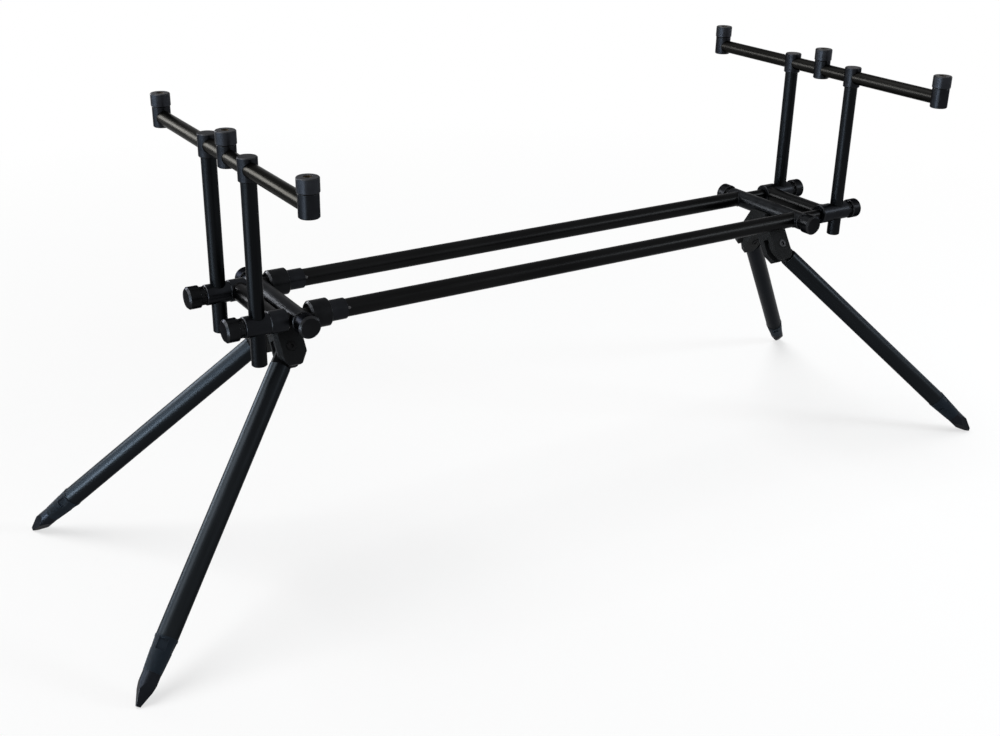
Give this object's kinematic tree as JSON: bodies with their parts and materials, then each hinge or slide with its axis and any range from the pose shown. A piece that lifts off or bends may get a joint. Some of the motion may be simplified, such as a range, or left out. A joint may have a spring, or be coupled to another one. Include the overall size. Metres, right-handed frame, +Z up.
{
  "type": "rod pod",
  "caption": "Fishing rod pod: telescopic bars on folding splayed legs, with a height-adjustable goalpost at each end that carries threaded heads for bite alarms or rod rests.",
  "frame": {"origin": "on the ground under the middle of the pod, midway between the two crossbars", "axes": "+X along the main bars from the locking-ring end to the other end, +Y to the far side, +Z up"},
  "size_m": [1.149, 0.397, 0.4938],
  "materials": {
    "tube_black": "satin",
    "bar_bronze_black": "satin",
    "turned_black": "satin",
    "knob_black": "satin",
    "block_black": "matte",
    "foot_black": "matte",
    "spike_black": "satin",
    "collet_grey": "matte",
    "bolt_dark": "satin"
  },
  "bodies": {
    "main_frame": {"main_tubes": "tube_black", "collet_sleeves": "turned_black", "collets": "collet_grey", "sleeve_rivets": "bolt_dark", "right_crossbar": "turned_black", "right_leg_block": "block_black", "right_block_fasteners": "bolt_dark"},
    "left_frame": {"left_crossbar": "turned_black", "left_leg_block": "block_black", "left_block_fasteners": "bolt_dark", "inner_tubes": "tube_black"},
    "left_carriage": {"left_rods": "tube_black", "left_holders": "turned_black", "left_brace": "tube_black"},
    "left_goalpost": {"left_uprights": "tube_black", "left_collars": "turned_black", "left_buzz_bar": "bar_bronze_black", "left_heads": "turned_black"},
    "right_carriage": {"right_rods": "tube_black", "right_bushes": "collet_grey", "right_holders": "turned_black", "right_brace": "tube_black"},
    "right_goalpost": {"right_uprights": "tube_black", "right_collars": "turned_black", "right_buzz_bar": "bar_bronze_black", "right_heads": "turned_black"},
    "left_near_leg": {"left_near_knuckle": "block_black", "left_near_leg_tube": "tube_black", "left_near_foot_sleeve": "foot_black", "left_near_spike": "spike_black"},
    "left_far_leg": {"left_far_knuckle": "block_black", "left_far_leg_tube": "tube_black", "left_far_foot_sleeve": "foot_black", "left_far_spike": "spike_black"},
    "right_near_leg": {"right_near_knuckle": "block_black", "right_near_leg_tube": "tube_black", "right_near_foot_sleeve": "foot_black", "right_near_spike": "spike_black"},
    "right_far_leg": {"right_far_knuckle": "block_black", "right_far_leg_tube": "tube_black", "right_far_foot_sleeve": "foot_black", "right_far_spike": "spike_black"},
    "left_near_holder_knob": {"left_near_holder_knob": "knob_black"},
    "left_near_crossbar_knob": {"left_near_crossbar_knob": "knob_black"},
    "left_far_holder_knob": {"left_far_holder_knob": "knob_black"},
    "left_far_crossbar_knob": {"left_far_crossbar_knob": "knob_black"},
    "right_near_holder_knob": {"right_near_holder_knob": "knob_black"},
    "right_near_crossbar_knob": {"right_near_crossbar_knob": "knob_black"},
    "right_far_holder_knob": {"right_far_holder_knob": "knob_black"},
    "right_far_crossbar_knob": {"right_far_crossbar_knob": "knob_black"},
    "locking_ring_near": {"locking_ring_near": "knob_black"},
    "locking_ring_far": {"locking_ring_far": "knob_black"},
    "left_near_head_ring": {"left_near_head_ring": "turned_black"},
    "left_mid_head_ring": {"left_mid_head_ring": "turned_black"},
    "left_far_head_ring": {"left_far_head_ring": "turned_black"},
    "right_near_head_ring": {"right_near_head_ring": "turned_black"},
    "right_mid_head_ring": {"right_mid_head_ring": "turned_black"},
    "right_far_head_ring": {"right_far_head_ring": "turned_black"}
  },
  "joints": [
    {"name": "left_frame_slide", "type": "slide", "parent": "main_frame", "child": "left_frame", "axis": [-1, 0, 0], "range_m": [0, 0.25]},
    {"name": "left_carriage_slide", "type": "slide", "parent": "left_frame", "child": "left_carriage", "axis": [-1, 0, 0], "range_m": [0, 0.1]},
    {"name": "right_carriage_slide", "type": "slide", "parent": "main_frame", "child": "right_carriage", "axis": [1, 0, 0], "range_m": [-0.0275, 0.08]},
    {"name": "left_goalpost_lift", "type": "slide", "parent": "left_carriage", "child": "left_goalpost", "axis": [0, 0, 1], "range_m": [-0.02, 0.025]},
    {"name": "right_goalpost_lift", "type": "slide", "parent": "right_carriage", "child": "right_goalpost", "axis": [0, 0, 1], "range_m": [-0.032, 0.012]},
    {"name": "left_near_leg_fold", "type": "hinge", "parent": "left_frame", "child": "left_near_leg", "pos_m": [-0.339, -0.02456, 0.25345], "axis": [0, -0.8434, 0.5373], "range_deg": [0, 128]},
    {"name": "left_far_leg_fold", "type": "hinge", "parent": "left_frame", "child": "left_far_leg", "pos_m": [-0.339, 0.02456, 0.25345], "axis": [0, -0.8434, -0.5373], "range_deg": [0, 128]},
    {"name": "right_near_leg_fold", "type": "hinge", "parent": "main_frame", "child": "right_near_leg", "pos_m": [0.339, -0.02456, 0.25345], "axis": [0, 0.8434, -0.5373], "range_deg": [0, 128]},
    {"name": "right_far_leg_fold", "type": "hinge", "parent": "main_frame", "child": "right_far_leg", "pos_m": [0.339, 0.02456, 0.25345], "axis": [0, 0.8434, 0.5373], "range_deg": [0, 128]},
    {"name": "left_near_holder_knob_turn", "type": "hinge", "parent": "left_carriage", "child": "left_near_holder_knob", "pos_m": [-0.3965, -0.052, 0.29699], "axis": [-1, 0, 0], "range_deg": [0, 270]},
    {"name": "left_near_crossbar_knob_turn", "type": "hinge", "parent": "left_frame", "child": "left_near_crossbar_knob", "pos_m": [-0.339, -0.065, 0.29699], "axis": [0, -1, 0], "range_deg": [0, 270]},
    {"name": "left_far_holder_knob_turn", "type": "hinge", "parent": "left_carriage", "child": "left_far_holder_knob", "pos_m": [-0.3965, 0.052, 0.29699], "axis": [-1, 0, 0], "range_deg": [0, 270]},
    {"name": "left_far_crossbar_knob_turn", "type": "hinge", "parent": "left_frame", "child": "left_far_crossbar_knob", "pos_m": [-0.339, 0.065, 0.29699], "axis": [0, 1, 0], "range_deg": [0, 270]},
    {"name": "right_near_holder_knob_turn", "type": "hinge", "parent": "right_carriage", "child": "right_near_holder_knob", "pos_m": [0.424, -0.052, 0.29699], "axis": [1, 0, 0], "range_deg": [0, 270]},
    {"name": "right_near_crossbar_knob_turn", "type": "hinge", "parent": "main_frame", "child": "right_near_crossbar_knob", "pos_m": [0.339, -0.065, 0.29699], "axis": [0, -1, 0], "range_deg": [0, 270]},
    {"name": "right_far_holder_knob_turn", "type": "hinge", "parent": "right_carriage", "child": "right_far_holder_knob", "pos_m": [0.424, 0.052, 0.29699], "axis": [1, 0, 0], "range_deg": [0, 270]},
    {"name": "right_far_crossbar_knob_turn", "type": "hinge", "parent": "main_frame", "child": "right_far_crossbar_knob", "pos_m": [0.339, 0.065, 0.29699], "axis": [0, 1, 0], "range_deg": [0, 270]},
    {"name": "locking_ring_near_turn", "type": "hinge", "parent": "main_frame", "child": "locking_ring_near", "pos_m": [-0.3165, -0.052, 0.29699], "axis": [-1, 0, 0], "range_deg": [0, 120]},
    {"name": "locking_ring_far_turn", "type": "hinge", "parent": "main_frame", "child": "locking_ring_far", "pos_m": [-0.3165, 0.052, 0.29699], "axis": [-1, 0, 0], "range_deg": [0, 120]},
    {"name": "left_near_head_ring_turn", "type": "hinge", "parent": "left_goalpost", "child": "left_near_head_ring", "pos_m": [-0.3815, -0.188, 0.46729], "axis": [0, 0, 1], "continuous": true},
    {"name": "left_mid_head_ring_turn", "type": "hinge", "parent": "left_goalpost", "child": "left_mid_head_ring", "pos_m": [-0.3815, 0, 0.46729], "axis": [0, 0, 1], "continuous": true},
    {"name": "left_far_head_ring_turn", "type": "hinge", "parent": "left_goalpost", "child": "left_far_head_ring", "pos_m": [-0.3815, 0.188, 0.46729], "axis": [0, 0, 1], "continuous": true},
    {"name": "right_near_head_ring_turn", "type": "hinge", "parent": "right_goalpost", "child": "right_near_head_ring", "pos_m": [0.409, -0.188, 0.48029], "axis": [0, 0, 1], "continuous": true},
    {"name": "right_mid_head_ring_turn", "type": "hinge", "parent": "right_goalpost", "child": "right_mid_head_ring", "pos_m": [0.409, 0, 0.48029], "axis": [0, 0, 1], "continuous": true},
    {"name": "right_far_head_ring_turn", "type": "hinge", "parent": "right_goalpost", "child": "right_far_head_ring", "pos_m": [0.409, 0.188, 0.48029], "axis": [0, 0, 1], "continuous": true}
  ]
}
